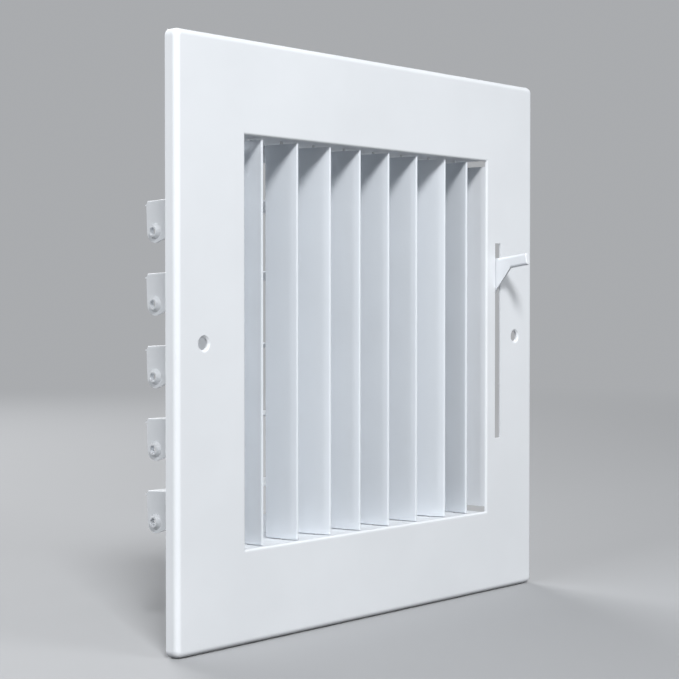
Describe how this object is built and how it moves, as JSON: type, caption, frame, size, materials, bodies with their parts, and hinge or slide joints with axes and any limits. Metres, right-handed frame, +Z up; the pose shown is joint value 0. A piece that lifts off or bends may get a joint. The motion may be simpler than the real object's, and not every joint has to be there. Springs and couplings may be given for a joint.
{
  "type": "adjustable air supply grille",
  "caption": "Square wall grille for supply air: upright louvers that turn one by one in a rolled opening, and behind them a linked damper of level blades worked by a lever in a slot.",
  "frame": {"origin": "centre of the face plate in the wall plane, where the rear edge of its rim meets the wall", "axes": "+X to the right seen from the room, +Y into the wall along the air duct, +Z up"},
  "size_m": [0.2476, 0.0774, 0.2476],
  "materials": {
    "white_enamel": "satin baked enamel",
    "damper_enamel": "satin baked enamel",
    "zinc_steel": "bright zinc plate"
  },
  "bodies": {
    "frame": {"face_plate": "white_enamel", "upper_louver_pins": "zinc_steel", "lower_louver_pins": "zinc_steel", "left_damper_rail": "damper_enamel", "right_damper_rail": "damper_enamel", "upper_stop": "damper_enamel", "lower_stop": "damper_enamel", "left_pivot_rivets": "zinc_steel", "right_pivot_rivets": "zinc_steel"},
    "louver_1": {"louver_1": "white_enamel"},
    "louver_2": {"louver_2": "white_enamel"},
    "louver_3": {"louver_3": "white_enamel"},
    "louver_4": {"louver_4": "white_enamel"},
    "louver_5": {"louver_5": "white_enamel"},
    "louver_6": {"louver_6": "white_enamel"},
    "louver_7": {"louver_7": "white_enamel"},
    "louver_8": {"louver_8": "white_enamel"},
    "damper_drive": {"damper_blade_3": "damper_enamel", "lever_stub": "zinc_steel", "control_lever": "white_enamel"},
    "damper_blade_1": {"damper_blade_1": "damper_enamel"},
    "damper_blade_2": {"damper_blade_2": "damper_enamel"},
    "damper_blade_4": {"damper_blade_4": "damper_enamel"},
    "damper_blade_5": {"damper_blade_5": "damper_enamel"},
    "link": {"link_bar": "damper_enamel", "link_rivets": "zinc_steel"}
  },
  "joints": [
    {"name": "louver_1_turn", "type": "hinge", "parent": "frame", "child": "louver_1", "pos_m": [-0.07224, 0.00375, 0], "axis": [0, 0, 1], "range_deg": [-87, 93]},
    {"name": "louver_2_turn", "type": "hinge", "parent": "frame", "child": "louver_2", "pos_m": [-0.0516, 0.00375, 0], "axis": [0, 0, 1], "range_deg": [-96.5, 83.5]},
    {"name": "louver_3_turn", "type": "hinge", "parent": "frame", "child": "louver_3", "pos_m": [-0.03096, 0.00375, 0], "axis": [0, 0, 1], "range_deg": [-103, 77]},
    {"name": "louver_4_turn", "type": "hinge", "parent": "frame", "child": "louver_4", "pos_m": [-0.01032, 0.00375, 0], "axis": [0, 0, 1], "range_deg": [-98.5, 81.5]},
    {"name": "louver_5_turn", "type": "hinge", "parent": "frame", "child": "louver_5", "pos_m": [0.01032, 0.00375, 0], "axis": [0, 0, 1], "range_deg": [-96, 84]},
    {"name": "louver_6_turn", "type": "hinge", "parent": "frame", "child": "louver_6", "pos_m": [0.03096, 0.00375, 0], "axis": [0, 0, 1], "range_deg": [-96, 84]},
    {"name": "louver_7_turn", "type": "hinge", "parent": "frame", "child": "louver_7", "pos_m": [0.0516, 0.00375, 0], "axis": [0, 0, 1], "range_deg": [-106, 74]},
    {"name": "louver_8_turn", "type": "hinge", "parent": "frame", "child": "louver_8", "pos_m": [0.07224, 0.00375, 0], "axis": [0, 0, 1], "range_deg": [-80.5, 99.5]},
    {"name": "damper_turn", "type": "hinge", "parent": "frame", "child": "damper_drive", "pos_m": [0, 0.03065, -0.0054], "axis": [1, 0, 0], "range_deg": [-8, 89.5]},
    {"name": "blade_1_turn", "type": "hinge", "parent": "frame", "child": "damper_blade_1", "pos_m": [0, 0.03065, 0.0568], "axis": [1, 0, 0], "range_deg": [-8.5, 90]},
    {"name": "blade_2_turn", "type": "hinge", "parent": "frame", "child": "damper_blade_2", "pos_m": [0, 0.03065, 0.0257], "axis": [1, 0, 0], "range_deg": [-8.5, 90]},
    {"name": "blade_4_turn", "type": "hinge", "parent": "frame", "child": "damper_blade_4", "pos_m": [0, 0.03065, -0.0365], "axis": [1, 0, 0], "range_deg": [-8.5, 90]},
    {"name": "blade_5_turn", "type": "hinge", "parent": "frame", "child": "damper_blade_5", "pos_m": [0, 0.03065, -0.0676], "axis": [1, 0, 0], "range_deg": [-8.5, 90]},
    {"name": "link_swing", "type": "hinge", "parent": "damper_drive", "child": "link", "pos_m": [0, 0.04623, -0.01529], "axis": [1, 0, 0], "range_deg": [-90, 8.5]}
  ],
  "couplings": [
    {"joint": "blade_1_turn", "follows": "damper_turn", "ratio": 1},
    {"joint": "blade_2_turn", "follows": "damper_turn", "ratio": 1},
    {"joint": "blade_4_turn", "follows": "damper_turn", "ratio": 1},
    {"joint": "blade_5_turn", "follows": "damper_turn", "ratio": 1},
    {"joint": "link_swing", "follows": "damper_turn", "ratio": -1}
  ]
}
